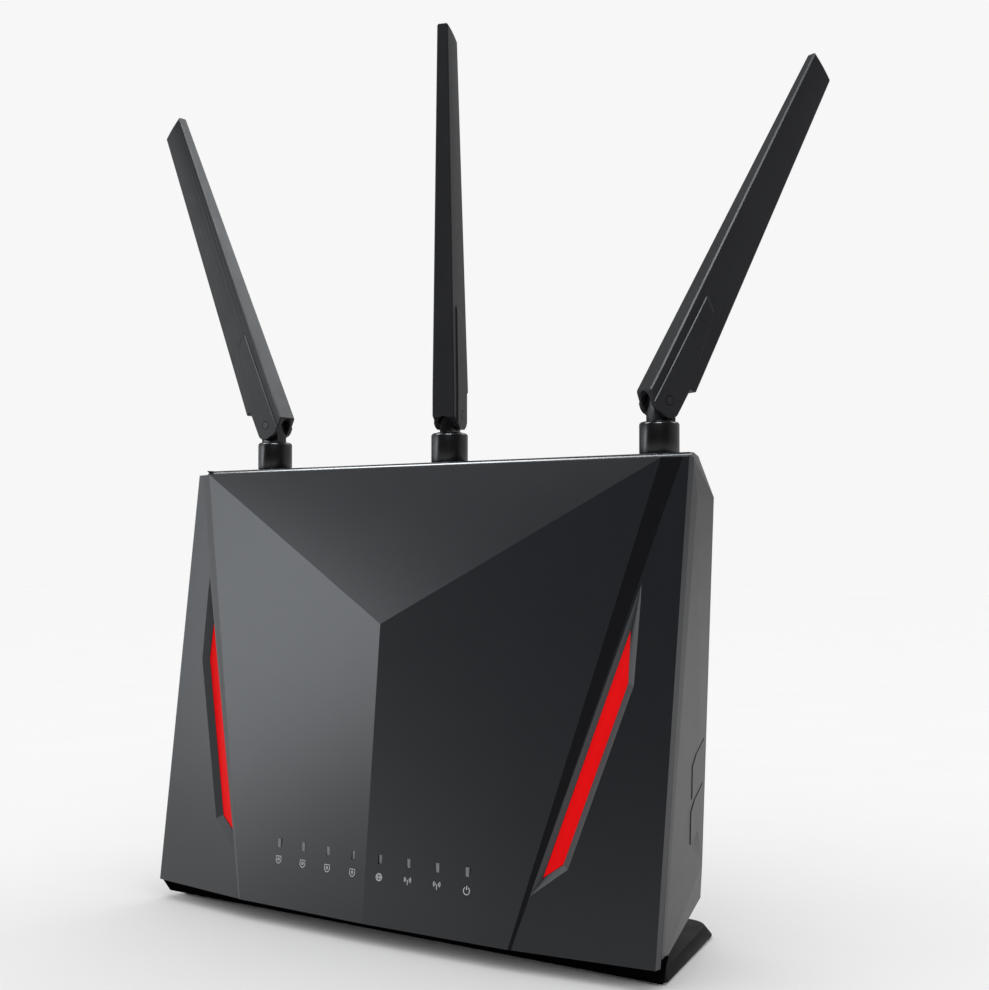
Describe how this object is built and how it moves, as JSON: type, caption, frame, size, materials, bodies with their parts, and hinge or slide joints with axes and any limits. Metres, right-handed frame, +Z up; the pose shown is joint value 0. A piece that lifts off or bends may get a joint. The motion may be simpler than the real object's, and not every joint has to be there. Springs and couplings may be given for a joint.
{
  "type": "wireless router",
  "caption": "Upright wireless router with a faceted front, red accent strips, lamp slots, rear ports and hinged antennas that swivel and fold.",
  "frame": {"origin": "on the resting plane, at the middle of the front rubber strip under the stand", "axes": "+Z up, -Y towards the front cover, +X towards the side with the two push buttons"},
  "size_m": [0.2691, 0.1141, 0.3224],
  "materials": {
    "cover_plastic": "satin",
    "accent_red": "gloss",
    "clear_plastic": "frosted",
    "shell_plastic": "fine textured",
    "stand_plastic": "matte",
    "rubber": "matte",
    "steel": "satin",
    "heatsink_aluminium": "satin",
    "board": "satin",
    "chip_black": "matte",
    "pad_grey": "matte",
    "brass": "satin",
    "cable_black": "satin",
    "antenna_plastic": "fine textured",
    "black_plastic": "matte"
  },
  "bodies": {
    "housing": {"front_cover": "cover_plastic", "accent_strip_left": "accent_red", "accent_strip_right": "accent_red", "light_pipe": "clear_plastic", "rear_shell": "shell_plastic", "stand": "stand_plastic", "rubber_strips": "rubber", "stand_screws": "steel", "housing_screws": "steel", "board_screws": "steel", "lamp_board_screws": "steel", "main_board": "board", "chips": "chip_black", "thermal_pads": "pad_grey", "front_heatsink": "heatsink_aluminium", "rear_heatsink": "heatsink_aluminium", "shield_can_left": "steel", "shield_can_right": "steel", "lamp_board": "board", "wan_jack": "steel", "lan_jacks": "steel", "usb_jacks": "steel", "power_inlet": "black_plastic", "power_switch": "black_plastic", "reset_switch": "black_plastic", "side_switch_board": "board", "antenna_jacks": "brass", "antenna_jack_nuts": "steel", "coax_tails": "cable_black"},
    "power_button_body": {"power_button": "black_plastic"},
    "reset_button_body": {"reset_button": "accent_red"},
    "upper_side_button_body": {"upper_side_button": "shell_plastic"},
    "lower_side_button_body": {"lower_side_button": "shell_plastic"},
    "collar_left_body": {"collar_left": "antenna_plastic"},
    "knuckle_left_body": {"knuckle_left": "antenna_plastic"},
    "blade_left_body": {"hinge_pin_left": "steel", "blade_left": "antenna_plastic", "radiator_left": "brass"},
    "collar_middle_body": {"collar_middle": "antenna_plastic"},
    "knuckle_middle_body": {"knuckle_middle": "antenna_plastic"},
    "blade_middle_body": {"hinge_pin_middle": "steel", "blade_middle": "antenna_plastic", "radiator_middle": "brass"},
    "collar_right_body": {"collar_right": "antenna_plastic"},
    "knuckle_right_body": {"knuckle_right": "antenna_plastic"},
    "blade_right_body": {"hinge_pin_right": "steel", "blade_right": "antenna_plastic", "radiator_right": "brass"}
  },
  "joints": [
    {"name": "collar_left_spin", "type": "hinge", "parent": "housing", "child": "collar_left_body", "pos_m": [-0.0883, 0.0231, 0.169], "axis": [0, 0, 1], "continuous": true},
    {"name": "antenna_left_swivel", "type": "hinge", "parent": "housing", "child": "knuckle_left_body", "pos_m": [-0.0883, 0.0231, 0.1715], "axis": [0, 0, 1], "range_deg": [-10, 340]},
    {"name": "antenna_left_tilt", "type": "hinge", "parent": "knuckle_left_body", "child": "blade_left_body", "pos_m": [-0.0893, 0.02307, 0.1812], "axis": [0.0314, -0.9995, 0], "range_deg": [-25.5, 64.5]},
    {"name": "collar_middle_spin", "type": "hinge", "parent": "housing", "child": "collar_middle_body", "pos_m": [0, 0.0231, 0.169], "axis": [0, 0, 1], "continuous": true},
    {"name": "antenna_middle_swivel", "type": "hinge", "parent": "housing", "child": "knuckle_middle_body", "pos_m": [0, 0.0231, 0.1715], "axis": [0, 0, 1], "range_deg": [-20, 330]},
    {"name": "antenna_middle_tilt", "type": "hinge", "parent": "knuckle_middle_body", "child": "blade_middle_body", "pos_m": [-0.00033, 0.02405, 0.1812], "axis": [-0.9455, -0.3256, 0], "range_deg": [0, 90]},
    {"name": "collar_right_spin", "type": "hinge", "parent": "housing", "child": "collar_right_body", "pos_m": [0.0883, 0.0231, 0.169], "axis": [0, 0, 1], "continuous": true},
    {"name": "antenna_right_swivel", "type": "hinge", "parent": "housing", "child": "knuckle_right_body", "pos_m": [0.0883, 0.0231, 0.1715], "axis": [0, 0, 1], "range_deg": [-60, 290]},
    {"name": "antenna_right_tilt", "type": "hinge", "parent": "knuckle_right_body", "child": "blade_right_body", "pos_m": [0.08871, 0.02401, 0.1812], "axis": [-0.9135, 0.4067, 0], "range_deg": [-31, 59]},
    {"name": "power_button_press", "type": "slide", "parent": "housing", "child": "power_button_body", "axis": [0, -1, 0], "range_m": [0, 0.002], "stiffness_N_per_m": 400},
    {"name": "reset_button_press", "type": "slide", "parent": "housing", "child": "reset_button_body", "axis": [0, -1, 0], "range_m": [0, 0.0006], "stiffness_N_per_m": 800},
    {"name": "upper_side_button_press", "type": "slide", "parent": "housing", "child": "upper_side_button_body", "axis": [-0.9629, -0.267, 0.0401], "range_m": [0, 0.0008], "stiffness_N_per_m": 600},
    {"name": "lower_side_button_press", "type": "slide", "parent": "housing", "child": "lower_side_button_body", "axis": [-0.9629, -0.267, 0.0401], "range_m": [0, 0.0008], "stiffness_N_per_m": 600}
  ]
}
